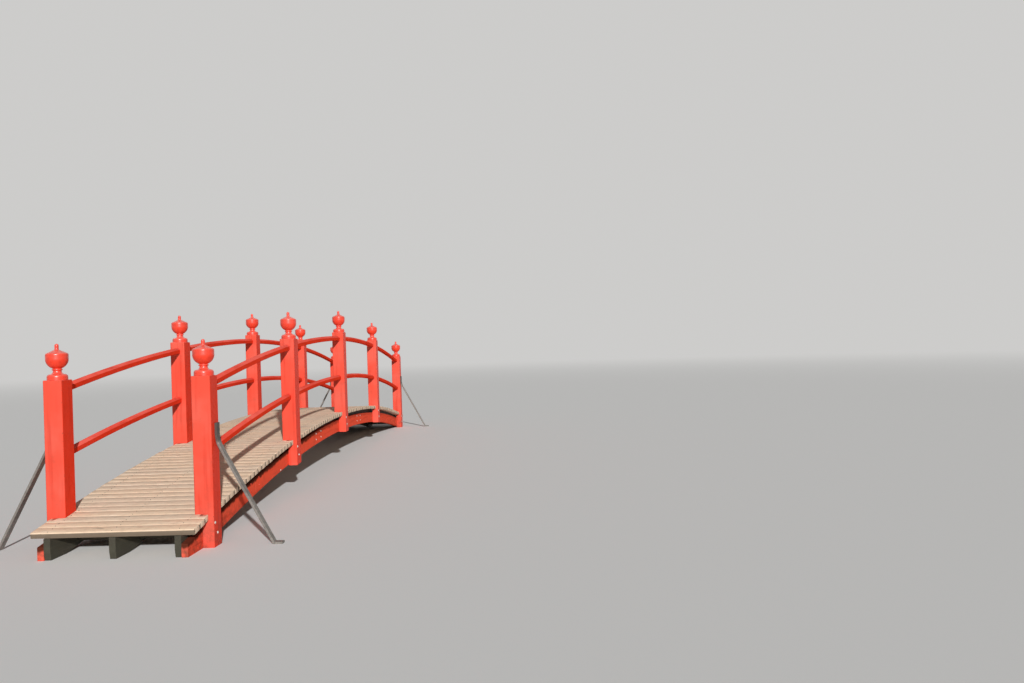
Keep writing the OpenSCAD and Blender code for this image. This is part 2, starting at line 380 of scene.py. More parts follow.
@dataclass(frozen=True)
class VermilionPaint:
    """Glossy vermilion paint brushed along the grain; painted light tints the faces along the bridge, bleach
    and painted sheen pale the upward ones.
    """

    grain: Grain
    edges: Edges = Edges.NONE
    gloss: Gloss = SATIN
    soiling: float = 0.0
    fading: float = 1.0
    bleach_and_sheen: float = 1.0
    base: Colour = (0.84, 0.045, 0.016)
    # painted light: paler, pinker tint for the faces that look along the bridge, standing in for their
    # sunlit brightness
    faded: Colour = (0.70, 0.160, 0.116)
    bleached: Colour = (0.94, 0.175, 0.130)
    deep: Colour = (0.47, 0.020, 0.009)
    undercoat: Colour = (0.16, 0.075, 0.050)
    grime: Colour = (0.085, 0.050, 0.032)
    splash_height: float = 0.34

    def material(self) -> Material:
        """Lays out the paint.

        Returns:
            The material for one direction of grain.
        """
        sheet = FinishSheet(f"vermilion_paint_{self.grain.name.lower()}_{self.edges.name.lower()}")
        plain = sheet.place()
        brushed = sheet.place(self.grain.value)
        facing = sheet.facing()
        clouds = sheet.noise(plain, 2.3, 5.0)
        lit_patches = sheet.span(clouds, 0.35, 0.70, 0.34 * self.fading, 0.62 * self.fading)
        # paler upward faces: partly sun bleaching, partly painted sheen of the sky on the upper faces
        worn = sheet.span(clouds, 0.35, 0.70, 0.35 * self.bleach_and_sheen, 0.75 * self.bleach_and_sheen)
        upward = sheet.times(sheet.span(facing["up"], 0.2, 0.8), worn)
        thin = sheet.noise(brushed, 26.0, 4.0)
        dust = sheet.noise(plain, 9.0, 6.0, 0.65)
        low = sheet.span(sheet.station("Z"), 0.0, self.splash_height, 1.0, 0.0)
        splash = sheet.span(sheet.noise(plain, 14.0, 6.0, 0.7), 0.35, 0.70, 0.05, 0.75)
        chips = self.chips(sheet, facing, plain)
        colour = sheet.coats(
            self.base,
            # painted light: the faces along the bridge take the paler tint, as if lit
            (sheet.times(sheet.span(facing["x"], 0.3, 0.9), lit_patches), self.faded),
            (sheet.math("ADD", upward, sheet.span(clouds, 0.5, 0.75, 0.0, 0.12)), self.bleached),
            (sheet.span(thin, 0.48, 0.74, self.soiling, self.soiling + 0.36), self.deep),
            (sheet.span(dust, 0.50, 0.78, 0.3 * self.soiling, 0.18 + 0.8 * self.soiling), self.grime),
            (sheet.times(low, splash), self.grime),
            *self.stains(sheet),
            (chips, self.undercoat),
        )
        sheen = sheet.span(clouds, 0.3, 0.8, 0.20, 0.40)
        normal = sheet.relief(
            (sheet.noise(plain, 7.0, 2.0), 3.0 * MM, 0.55),
            (sheet.noise(brushed, 190.0, 3.0, 0.6), 0.35 * MM, 0.75),
            (sheet.math("SUBTRACT", 1.0, chips), 0.5 * MM, 1.0),
        )
        gloss = self.gloss
        coat = sheet.span(facing["up"], gloss.sheltered_to, gloss.washed_from, gloss.sheltered, gloss.washed)
        return sheet.finish(
            base_color=colour, roughness=sheet.math("ADD", sheen, sheet.times(chips, 0.4)), normal=normal,
            specular_ior_level=gloss.body, coat_weight=coat, coat_roughness=gloss.roughness,
            coat_ior=gloss.density, coat_normal=normal,
        )

    def stains(self, sheet: FinishSheet) -> list[Coat]:
        """Extra coats that only some pieces have, here none."""
        return []

    def chips(self, sheet: FinishSheet, facing: dict[str, NodeSocket], where: NodeSocket) -> NodeSocket:
        """Small chips along the edges and a few on the faces.

        Args:
            sheet: The sheet being laid out.
            facing: Parts of the surface's normal.
            where: Coordinates of the chips.

        Returns:
            The share of undercoat that shows.
        """
        speck = sheet.noise(where, 42.0, 5.0, 0.7)
        rare = sheet.times(sheet.span(speck, 0.735, 0.765), 0.7)
        if self.edges is Edges.NONE:
            return rare
        upright = sheet.times(facing["x"], facing["y"])
        level = sheet.times(facing["z"], sheet.math("MAXIMUM", facing["x"], facing["y"]))
        edge = sheet.span(sheet.math("ADD", upright, level), 0.18, 0.42)
        worn = sheet.times(edge, sheet.span(speck, 0.60, 0.66, 0.0, 0.85))
        return sheet.math("MAXIMUM", worn, rare)


@dataclass(frozen=True)
class BeamPaint(VermilionPaint):
    """The same paint on the fascia beams, with a dark band under the boards: painted shadow of the deck's
    overhang, with dirt drips.

    band_thins_from holds the stations between which the band thins, and band and drips are its depths.
    """

    arch_centre_z: float = 0.0
    top_radius: float = 0.0
    band_thins_from: Pair = (-2.0, 0.4)
    band: float = 38 * MM
    drips: float = 16 * MM
    dirt: Colour = (0.088, 0.022, 0.012)

    def stains(self, sheet: FinishSheet) -> list[Coat]:
        """The band of painted shadow under the deck's overhang, with dirt drips, thinner in the far bays.

        Args:
            sheet: The sheet being laid out.

        Returns:
            The band as one coat.
        """
        # painted shadow of the overhanging boards on the fascia's top, its edge ragged by drip runs of dirt
        in_plane = sheet.place((1.0, 0.0, 1.0), (0.0, 0.0, -self.arch_centre_z))
        depth = sheet.math("SUBTRACT", self.top_radius, sheet.length(in_plane))
        runs = sheet.noise(sheet.place((1.0, 1.0, 0.12)), 22.0, 2.0, 0.5)
        below = sheet.math("SUBTRACT", depth, sheet.span(runs, 0.35, 0.75, 0.0, self.drips))
        share = sheet.span(below, self.band - 22 * MM, self.band + 2 * MM, 0.97, 0.0)
        thinned = sheet.span(sheet.station("X"), *self.band_thins_from, 1.0, 0.30)
        return [(sheet.times(share, thinned), self.dirt)]


@dataclass(frozen=True)
class WeatheredBoards:
    """Bare sawn boards, bleached grey and tan, with raised grain, checks and knots."""

    grey: Colour = (0.81, 0.640, 0.475)
    tan: Colour = (0.89, 0.670, 0.470)
    late_wood: Colour = (0.50, 0.355, 0.245)
    check: Colour = (0.080, 0.060, 0.045)
    # dark damp specks on the ends, and painted shade in the gaps between boards
    damp: Colour = (0.105, 0.078, 0.054)
    bleached: Colour = (0.95, 0.795, 0.625)
    end_grain: Colour = (0.88, 0.660, 0.480)
    half_width: float = 47.5 * MM
    thickness: float = 45 * MM
    pith_depth: float = 30 * MM

    def material(self) -> Material:
        """Lays out the boards' surface.

        Returns:
            The material, which reads each board's tone and shift, and the place on its section.
        """
        sheet = FinishSheet("weathered_boards")
        tone = sheet.add("Attribute", attribute_name="tone").outputs["Fac"]
        shift = sheet.add("Attribute", attribute_name="shift").outputs["Vector"]
        section = sheet.add("Attribute", attribute_name="section").outputs["Vector"]
        spot = sheet.add("SeparateXYZ", {0: section}).outputs
        plain = sheet.place(shift=shift)
        along = sheet.place(Grain.ACROSS.value, shift)
        facing = sheet.facing()
        patches = sheet.noise(plain, 5.0, 5.0, 0.6)
        rings = sheet.math("SINE", sheet.times(sheet.noise(along, 11.0, 1.5, 0.4), 85.0))
        rings = sheet.span(rings, -0.4, 1.0)
        fibres = sheet.noise(along, 240.0, 4.0, 0.7)
        pale = sheet.noise(along, 90.0, 3.0, 0.6)
        mottle = sheet.noise(sheet.place((1.0, 0.5, 1.0), shift), 34.0, 5.0, 0.65)
        knots = sheet.cells(sheet.place((1.0, 0.55, 1.0), shift), 3.4)
        checks = sheet.span(sheet.noise(along, 62.0, 2.0, 0.5), 0.695, 0.725)
        gaps = sheet.span(spot["Z"], self.thickness - 12 * MM, self.thickness - 4 * MM, 1.0, 0.0)
        colour = sheet.coats(
            self.grey,
            (sheet.span(sheet.math("ADD", patches, tone), 0.45, 1.60), self.tan),
            (sheet.times(rings, 0.10), self.late_wood),
            (sheet.span(fibres, 0.48, 0.74, 0.0, 0.30), self.late_wood),
            (sheet.span(pale, 0.50, 0.70, 0.0, 0.60), self.bleached),
            (sheet.span(mottle, 0.46, 0.72, 0.0, 0.38), self.late_wood),
            (sheet.times(sheet.span(knots, 0.035, 0.065, 1.0, 0.0), 0.7), self.late_wood),
            (sheet.times(checks, 0.8), self.check),
            (sheet.span(facing["y"], 0.5, 0.8), self.ends(sheet, section, spot["X"], plain)),
            # painted shade: the boards' sides darken deep in the gaps between them
            (sheet.times(sheet.span(facing["x"], 0.6, 0.9, 0.0, 0.9), gaps), self.damp),
        )
        normal = sheet.relief(
            (rings, 0.5 * MM, 0.6), (fibres, 0.8 * MM, 0.8),
            (sheet.math("SUBTRACT", 1.0, checks), 2.0 * MM, 0.9),
        )
        return sheet.finish(
            base_color=colour, roughness=sheet.span(fibres, 0.3, 0.7, 0.66, 0.88), normal=normal,
            specular_ior_level=0.3,
        )

    def ends(self, sheet: FinishSheet, section: NodeSocket, share: NodeSocket,
             plain: NodeSocket) -> NodeSocket:
        """End grain: rings about a pith below the board, dark specks, and painted shade towards the gaps at
        its sides.

        Args:
            sheet: The sheet being laid out.
            section: Place on the board's own section: share of the half width, 0 and height.
            share: The first part of that place.
            plain: Coordinates of the specks.

        Returns:
            The colour of the sawn ends.
        """
        metres = sheet.vector("MULTIPLY", section, (self.half_width, 0.0, 1.0))
        radius = sheet.length(sheet.vector("ADD", metres, (0.0, 0.0, self.pith_depth)))
        rings = sheet.math("SINE", sheet.times(radius, 1500.0))
        specks = sheet.noise(plain, 95.0, 5.0, 0.7)
        across = sheet.math("ADD", sheet.math("ABSOLUTE", share), sheet.span(specks, 0.3, 0.7, -0.2, 0.2))
        return sheet.coats(
            self.end_grain,
            (sheet.span(rings, -0.2, 1.0, 0.0, 0.45), self.late_wood),
            (sheet.span(specks, 0.52, 0.74, 0.0, 0.75), self.damp),
            # painted shade towards the gaps at each side of the end
            (sheet.span(across, 0.66, 0.92, 0.0, 0.92), self.damp),
        )


@dataclass(frozen=True)
class DarkStain:
    """Sawn timber under a dark preservative, drier and greyer where it is worn."""

    grain: Grain
    base: Colour = (0.040, 0.030, 0.023)
    dry: Colour = (0.110, 0.088, 0.068)
    algae: Colour = (0.055, 0.066, 0.036)

    def material(self) -> Material:
        """Lays out the stained timber.

        Returns:
            The material for one direction of grain.
        """
        sheet = FinishSheet(f"dark_stain_{self.grain.name.lower()}")
        plain = sheet.place()
        fibres = sheet.noise(sheet.place(self.grain.value), 150.0, 4.0, 0.65)
        patches = sheet.noise(plain, 4.0, 5.0, 0.6)
        low = sheet.span(sheet.station("Z"), 0.05, 0.45, 0.6, 0.0)
        colour = sheet.coats(
            self.base,
            (sheet.span(fibres, 0.45, 0.75, 0.0, 0.7), self.dry),
            (sheet.span(patches, 0.5, 0.8, 0.0, 0.55), self.dry),
            (sheet.times(low, patches), self.algae),
        )
        marks = sheet.noise(plain, 55.0, 3.0, 0.5)
        normal = sheet.relief((marks, 1.2 * MM, 0.4), (fibres, 0.9 * MM, 0.8))
        return sheet.finish(
            base_color=colour, roughness=sheet.span(fibres, 0.3, 0.7, 0.62, 0.86), normal=normal,
            specular_ior_level=0.35,
        )


@dataclass(frozen=True)
class GreySteel:
    """Dull galvanised steel, mottled, with brown stains and painted shade on the upper tab."""

    bend_height: float
    base: Colour = (0.300, 0.270, 0.240)
    dull: Colour = (0.165, 0.146, 0.130)
    dark: Colour = (0.062, 0.050, 0.043)
    rust: Colour = (0.155, 0.058, 0.022)

    def material(self) -> Material:
        """Lays out the steel.

        Returns:
            The material.
        """
        sheet = FinishSheet("grey_steel")
        plain = sheet.place()
        spangle = sheet.cells(plain, 46.0)
        patches = sheet.noise(plain, 8.0, 6.0, 0.65)
        # painted shade: the tab above the bend is darkened
        upper = sheet.span(sheet.station("Z"), self.bend_height - 20 * MM, self.bend_height + 15 * MM)
        blotches = sheet.span(patches, 0.62, 0.78, 0.0, 0.7)
        specks = sheet.span(sheet.noise(plain, 70.0, 5.0, 0.7), 0.60, 0.70, 0.0, 0.8)
        low = sheet.span(sheet.station("Z"), 0.02, 0.16, 1.0, 0.25)
        colour = sheet.coats(
            self.base,
            (sheet.span(spangle, 0.1, 0.7, 0.0, 0.55), self.dull),
            (sheet.span(patches, 0.45, 0.70, 0.0, 0.8), self.dull),
            (sheet.math("MAXIMUM", sheet.times(upper, 0.8), blotches), self.dark),
            (sheet.times(specks, low), self.rust),
        )
        roughness = sheet.span(patches, 0.3, 0.75, 0.42, 0.70)
        normal = sheet.relief((sheet.noise(plain, 160.0, 3.0, 0.6), 0.25 * MM, 0.7))
        return sheet.finish(base_color=colour, metallic=0.35, roughness=roughness, normal=normal)


@dataclass(frozen=True)
class ZincPlate:
    """Zinc-plated bolt heads and washers, chalky, with brown stains."""

    base: Colour = (0.68, 0.64, 0.57)
    chalk: Colour = (0.88, 0.83, 0.74)
    stain: Colour = (0.30, 0.16, 0.09)

    def material(self) -> Material:
        """Lays out the plating.

        Returns:
            The material.
        """
        sheet = FinishSheet("zinc_plate")
        plain = sheet.place()
        mottle = sheet.noise(plain, 120.0, 4.0, 0.6)
        specks = sheet.noise(plain, 60.0, 5.0, 0.7)
        colour = sheet.coats(
            self.base,
            (sheet.span(mottle, 0.4, 0.65), self.chalk),
            (sheet.span(specks, 0.56, 0.72, 0.0, 0.7), self.stain),
        )
        roughness = sheet.span(mottle, 0.3, 0.7, 0.34, 0.58)
        normal = sheet.relief((mottle, 0.2 * MM, 0.6))
        return sheet.finish(base_color=colour, metallic=0.6, roughness=roughness, normal=normal)


@dataclass(frozen=True)
class NailIron:
    """Flat nail heads gone dark brown in the weather."""

    base: Colour = (0.095, 0.068, 0.052)
    rust: Colour = (0.175, 0.072, 0.030)

    def material(self) -> Material:
        """Lays out the iron.

        Returns:
            The material.
        """
        sheet = FinishSheet("nail_iron")
        mottle = sheet.noise(sheet.place(), 300.0, 4.0, 0.65)
        colour = sheet.coats(self.base, (sheet.span(mottle, 0.42, 0.62), self.rust))
        normal = sheet.relief((mottle, 0.2 * MM, 0.8))
        return sheet.finish(base_color=colour, metallic=0.4, roughness=0.68, normal=normal)


@dataclass(frozen=True)
class PaleFloor:
    """Plain pale floor that fades into the backdrop far from the bridge."""

    near: Colour = (0.86, 0.855, 0.84)
    fade_from: float = 16.0
    fade_to: float = 60.0

    def material(self, backdrop: Colour) -> Material:
        """Lays out the floor.

        Args:
            backdrop: Colour of the backdrop behind it.

        Returns:
            The material.
        """
        sheet = FinishSheet("pale_floor")
        far = sheet.span(sheet.length(sheet.place()), self.fade_from, self.fade_to)
        glow = sheet.add("Emission", {"Color": backdrop, "Strength": 1.0}).outputs["Emission"]
        mix = sheet.add("MixShader", {0: far, 1: sheet.shader.outputs["BSDF"], 2: glow})
        sheet.feed(sheet.output.inputs["Surface"], mix.outputs[0])
        return sheet.finish(base_color=self.near, roughness=0.9, specular_ior_level=0.1)


def put_in_scene(thing: Object) -> Object:
    """Puts an object in the scene and hands it back."""
    bpy.context.scene.collection.objects.link(thing)
    return thing


def finished(name: str, bm: BMesh, material: Material) -> Object:
    """Turns a working mesh into an object with a finish.

    Args:
        name: Name of the object.
        bm: The mesh, which is freed.
        material: Its finish.

    Returns:
        The new object.
    """
    mesh = bpy.data.meshes.new(name)
    bm.to_mesh(mesh)
    bm.free()
    mesh.materials.append(material)
    return put_in_scene(bpy.data.objects.new(name, mesh))


def make_piece(name: str, bm: BMesh, material: Material) -> Object:
    """Turns a working mesh into a piece of the bridge, smooth but for its sharp edges.

    Args:
        name: Name of the piece.
        bm: The mesh, which is freed.
        material: Its finish.

    Returns:
        The piece, riding on the bridge.
    """
    for face in bm.faces:
        face.smooth = True
    for edge in bm.edges:
        if len(edge.link_faces) == 2:
            edge.smooth = edge.calc_face_angle(0.0) < SHARP_FROM
    piece = finished(name, bm, material)
    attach(piece, BODY)
    return piece


def dress(node: str, material: Material, edge: float = 0.0) -> Object:
    """Gives a carried-over node its finish and, where it asks for one, a rounded edge.

    Args:
        node: Name of the node.
        material: Its finish.
        edge: Width of the rounding, or 0 for none.

    Returns:
        The node's object.
    """
    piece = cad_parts[node]
    for slot in piece.material_slots:
        slot.material = material
    if edge > 0:
        weld = piece.modifiers.new("weld", "WELD")
        weld.merge_threshold = WELD_WITHIN
        rounding = piece.modifiers.new("rounding", "BEVEL")
        rounding.width = edge
        rounding.segments = 2
        rounding.limit_method = "ANGLE"
        rounding.angle_limit = ROUNDED_FROM
        rounding.harden_normals = True
    return piece


def close_band(bm: BMesh, lower: list[BMVert], upper: list[BMVert]) -> None:
    """Closes the band between two rings of corners with four-sided faces."""
    for i, j in zip(range(len(lower)), [*range(1, len(lower)), 0]):
        bm.faces.new((lower[i], lower[j], upper[j], upper[i]))


def lathe(bm: BMesh, profile: list[Pair], point: Vector, outward: Vector, facets: int) -> None:
    """Turns a profile about its axis and sets it on a face.

    Args:
        bm: The mesh that takes it.
        profile: Radius and height pairs from the rim to the axis, the last on the axis.
        point: Where the axis meets the face.
        outward: Direction away from the face.
        facets: Number of sides round it.
    """
    place = Matrix.Translation(point) @ outward.to_track_quat("Z", "Y").to_matrix().to_4x4()
    turns = [math.tau * i / facets for i in range(facets)]
    rings = []
    for radius, height in profile[:-1]:
        ring = [Vector((radius * math.cos(turn), radius * math.sin(turn), height)) for turn in turns]
        rings.append([bm.verts.new(place @ corner) for corner in ring])
    for lower, upper in zip(rings, rings[1:]):
        close_band(bm, lower, upper)
    tip = bm.verts.new(place @ Vector((0.0, 0.0, profile[-1][1])))
    for i in range(facets):
        bm.faces.new((rings[-1][i], rings[-1][(i + 1) % facets], tip))
    bm.faces.new(list(reversed(rings[0])))


class SubAssembly(ABC):
    """A group of pieces that a maker would build together."""

    @abstractmethod
    def build(self) -> list[Object]:
        """Makes and dresses the pieces."""


@dataclass
class PaintedTimber(SubAssembly):
    """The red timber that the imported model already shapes: posts, finials, rails and fascias."""

    arch: Arch
    deck_to_beam: float = 105 * MM
    post_edge: float = 1.5 * MM
    rail_edge: float = 2.0 * MM
    beam_edge: float = 3.0 * MM

    def build(self) -> list[Object]:
        """Dresses both rows.

        Returns:
            The dressed nodes.
        """
        upright = VermilionPaint(Grain.UPRIGHT, Edges.CHAMFERS).material()
        turned = VermilionPaint(Grain.TURNED, gloss=POLISHED, fading=0.20).material()
        # rails: stronger upward tint, part bleach and part painted sheen on their upper faces
        rails = VermilionPaint(
            Grain.ALONG, gloss=WORN, bleach_and_sheen=1.3, base=(0.84, 0.047, 0.017), bleached=(1.0, 0.150, 0.110),
        ).material()
        beams = BeamPaint(
            Grain.ALONG, Edges.CHAMFERS, gloss=WORN, soiling=0.06, base=(0.93, 0.106, 0.052),
            arch_centre_z=self.arch.centre_z, top_radius=self.arch.radius - self.deck_to_beam,
        ).material()
        pieces = []
        for side in Side:
            for i in POSTS:
                pieces.append(dress(f"{side.word}_post_{i}", upright, self.post_edge))
                pieces.append(dress(f"{side.word}_finial_{i}", turned))
            for name in ("top_rail", "lower_rail"):
                pieces.append(dress(f"{side.word}_{name}", rails, self.rail_edge))
            pieces.append(dress(f"{side.word}_fascia", beams, self.beam_edge))
        return pieces


@dataclass
class Underframe(SubAssembly):
    """Stringers and bearers under the boards."""

    edge: float = 3.0 * MM

    def build(self) -> list[Object]:
        """Dresses the stringers and the bearers.

        Returns:
            The dressed nodes.
        """
        along = DarkStain(Grain.ALONG).material()
        across = DarkStain(Grain.ACROSS).material()
        pieces = [dress(f"{name}_stringer", along, self.edge) for name in STRINGERS]
        pieces.append(dress("cross_bearers", across, self.edge))
        return pieces


@dataclass
class Deck(SubAssembly):
    """Cross boards, each cut, warped and worn a little in its own way, with their nails."""

    arch: Arch
    board_width: float = 95 * MM
    board_gap: float = 5 * MM
    boards_past_post: int = 3
    notch_clearance: float = 3 * MM
    edge: float = 2.5 * MM
    cut_every: float = 50 * MM
    end_wander: float = 7 * MM
    cup: float = 1.2 * MM
    bow: float = 1.6 * MM
    wave: float = 0.3 * MM
    wear: float = 0.6 * MM
    wear_pattern: Point = (30.0, 9.0, 30.0)
    pattern_reach: float = 40.0
    nail_radius: float = 4.5 * MM
    nail_rise: float = 0.7 * MM
    nail_depth: float = 1.5 * MM
    nail_sink: float = 0.6 * MM
    nail_facets: int = 12
    nail_spacing: float = 55 * MM
    nail_stray: Pair = (5 * MM, 8 * MM)
    seed: int = 11
    draw: random.Random = field(init=False)

    def __post_init__(self) -> None:
        """Starts the seeded draw that sets the boards apart."""
        self.draw = random.Random(self.seed)

    @cached_property
    def half_length(self) -> float:
        """Half the length of a board."""
        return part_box("deck_bay_2")[1].y

    @cached_property
    def notch_reach(self) -> float:
        """Distance from the centre line at which the notches round the legs begin."""
        return -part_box("right_fascia")[0].y

    @cached_property
    def stringer_lines(self) -> list[float]:
        """Distances from the centre line at which boards are nailed."""
        boxes = [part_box(f"{name}_stringer") for name in STRINGERS]
        return [(low.y + high.y) / 2 for low, high in boxes]

    def board_angles(self, post: int, boards: range | None = None) -> list[float]:
        """Angles of a run of boards, at the pitch of the bay that begins or ends at a post.

        Args:
            post: Number of the post that the run is counted from, from 0.
            boards: Numbers of the boards, counted from the post, or None for the whole bay.

        Returns:
            The angle of each board's middle from the crown.
        """
        at = [self.arch.angle_at(x) for x in self.arch.post_middles]
        bay = min(post, len(at) - 2)
        turn = at[bay + 1] - at[bay]
        count = round(turn * self.arch.radius / (self.board_width + self.board_gap))
        return [at[post] + k * turn / count for k in boards or range(count)]

    def half_plan(self, angle: float, up: float, half: float) -> list[Pair]:
        """Outline of one half of a board at one height, with the notch that a leg cuts in it.

        Args:
            angle: Angle of the board.
            up: Height above the board's underside.
            half: Length of this half.

        Returns:
            The corners in order along the bridge, as places on the board and distances from its middle.
        """
        edge = self.board_width / 2
        reach = self.arch.radius - self.arch.board_thickness + up
        notch = self.notch_reach
        for low, high in self.arch.posts:
            before = (low - self.notch_clearance - reach * math.sin(angle)) / math.cos(angle)
            after = (high + self.notch_clearance - reach * math.sin(angle)) / math.cos(angle)
            if before < -edge and after > edge:
                return [(-edge, notch), (edge, notch)]
            if -edge < before < edge:
                return [(-edge, half), (before, half), (before, notch), (edge, notch)]
            if -edge < after < edge:
                return [(-edge, notch), (after, notch), (after, half), (edge, half)]
        return [(-edge, half), (edge, half)]

    def cut_board(self, angle: float) -> BMesh:
        """Cuts one board with its notches and eased edges, flat, in its own measures.

        Args:
            angle: Angle of the board on the arch.

        Returns:
            The board's mesh.
        """
        bm = bmesh.new()
        ends = [self.half_length - self.draw.uniform(0.0, self.end_wander) for _ in range(2)]
        rings = []
        for up in (0.0, self.arch.board_thickness):
            right, left = (self.half_plan(angle, up, half) for half in ends)
            outline = [(u, -v) for u, v in right] + left[::-1]
            rings.append([bm.verts.new((u, v, up)) for u, v in outline])
        lower, upper = rings
        bm.faces.new(list(reversed(lower)))
        bm.faces.new(upper)
        close_band(bm, lower, upper)
        bmesh.ops.bevel(
            bm, geom=bm.edges[:], offset=self.edge, segments=2, profile=0.5, affect="EDGES",
            clamp_overlap=True,
        )
        stations = int(self.half_length / self.cut_every)
        for k in range(-stations, stations + 1):
            bmesh.ops.bisect_plane(
                bm, geom=bm.verts[:] + bm.edges[:] + bm.faces[:], plane_co=(0.0, k * self.cut_every, 0.0),
                plane_no=(0.0, 1.0, 0.0), dist=CUT_WITHIN,
            )
        return bm

    def lay_board(self, bm: BMesh, angle: float, deck: BMesh) -> None:
        """Warps a board, lays it on the arch and adds it to its bay.

        Args:
            bm: The board's mesh, which is freed.
            angle: Angle of the board.
            deck: The mesh of the bay, with layers for the tone, the shift and the section.
        """
        tone = self.draw.random()
        shift = Vector([self.draw.uniform(-self.pattern_reach, self.pattern_reach) for _ in range(3)])
        cup, bow, drift = (self.draw.uniform(-1.0, 1.0) * most for most in (self.cup, self.bow, self.bow))
        edge = self.board_width / 2
        tones = deck.verts.layers.float["tone"]
        shifts = deck.verts.layers.float_vector["shift"]
        sections = deck.verts.layers.float_vector["section"]
        made = {}
        for vert in bm.verts:
            u, v, w = vert.co
            share = v / self.half_length
            pattern = Vector([part * scale for part, scale in zip((u, v, w), self.wear_pattern)])
            lift = cup * (0.5 - (u / edge) ** 2) + noise.noise(pattern + shift) * self.wear
            lift += self.wave * math.sin(3.0 * share + shift.x)
            slide = bow * (0.5 - share ** 2) * 0.8 + drift * 0.4 * share
            if w < self.arch.board_thickness / 2:
                lift = 0.0
            laid = deck.verts.new(self.arch.place(angle, u + slide, v, w + lift))
            laid[tones] = tone
            laid[shifts] = shift
            laid[sections] = Vector((u / edge, 0.0, w))
            made[vert] = laid
        for face in bm.faces:
            deck.faces.new([made[vert] for vert in face.verts])
        bm.free()

    def nails(self, angle: float, bed: BMesh) -> None:
        """Drives the nails of one board.

        Args:
            angle: Angle of the board.
            bed: The mesh that takes the heads.
        """
        profile = [
            (self.nail_radius, -self.nail_depth), (self.nail_radius, self.nail_rise * 0.5),
            (self.nail_radius * 0.7, self.nail_rise), (0.0, self.nail_rise),
        ]
        top = self.arch.board_thickness + self.cup * 0.2
        outward = Vector((math.sin(angle), 0.0, math.cos(angle)))
        along, across = self.nail_stray
        for line in self.stringer_lines:
            for side in (-1, 1):
                u = side * self.nail_spacing / 2 + self.draw.uniform(-along, along)
                v = line + self.draw.uniform(-across, across)
                point = self.arch.place(angle, u, v, top - self.draw.uniform(0.0, self.nail_sink))
                lathe(bed, profile, point, outward, self.nail_facets)

    def build(self) -> list[Object]:
        """Builds every run of boards and its nails.

        Returns:
            One piece of boards and one of nails for each deck node.
        """
        boards = WeatheredBoards().material()
        iron = NailIron().material()
        runs = {"deck_start": self.board_angles(0, range(-self.boards_past_post, 0))}
        for post in range(4):
            runs[f"deck_bay_{post + 1}"] = self.board_angles(post)
        runs["deck_end"] = self.board_angles(4, range(self.boards_past_post + 1))
        pieces = []
        for node, angles in runs.items():
            deck, bed = bmesh.new(), bmesh.new()
            deck.verts.layers.float.new("tone")
            for name in ("shift", "section"):
                deck.verts.layers.float_vector.new(name)
            for angle in angles:
                self.lay_board(self.cut_board(angle), angle, deck)
                self.nails(angle, bed)
            piece = make_piece(node.replace("deck", "boards"), deck, boards)
            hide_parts(node)
            pieces.append(piece)
            pieces.append(make_piece(node.replace("deck", "nails"), bed, iron))
        return pieces


@dataclass(frozen=True)
class BoltHead:
    """A coach bolt's domed head on its washer, turned from one profile."""

    washer_radius: float = 12 * MM
    washer_rise: float = 1.8 * MM
    washer_edge: float = 0.8 * MM
    head_radius: float = 9 * MM
    head_rise: float = 5 * MM
    bedding: float = 2 * MM
    dome_steps: int = 5
    facets: int = 24

    def profile(self) -> list[Pair]:
        """Radius and height pairs from the washer's rim to the top of the dome.

        Returns:
            The profile for the lathe.
        """
        rim, top = self.washer_radius, self.washer_rise
        washer = [(rim, -self.bedding), (rim, top * 0.6), (rim - self.washer_edge, top)]
        turns = [math.radians(90 * step / self.dome_steps) for step in range(self.dome_steps + 1)]
        return washer + [
            (self.head_radius * math.cos(turn), top + self.head_rise * math.sin(turn)) for turn in turns
        ]

    def add(self, bm: BMesh, point: Vector, outward: Vector) -> None:
        """Sets one head on a face, at a point of it."""
        lathe(bm, self.profile(), point, outward, self.facets)


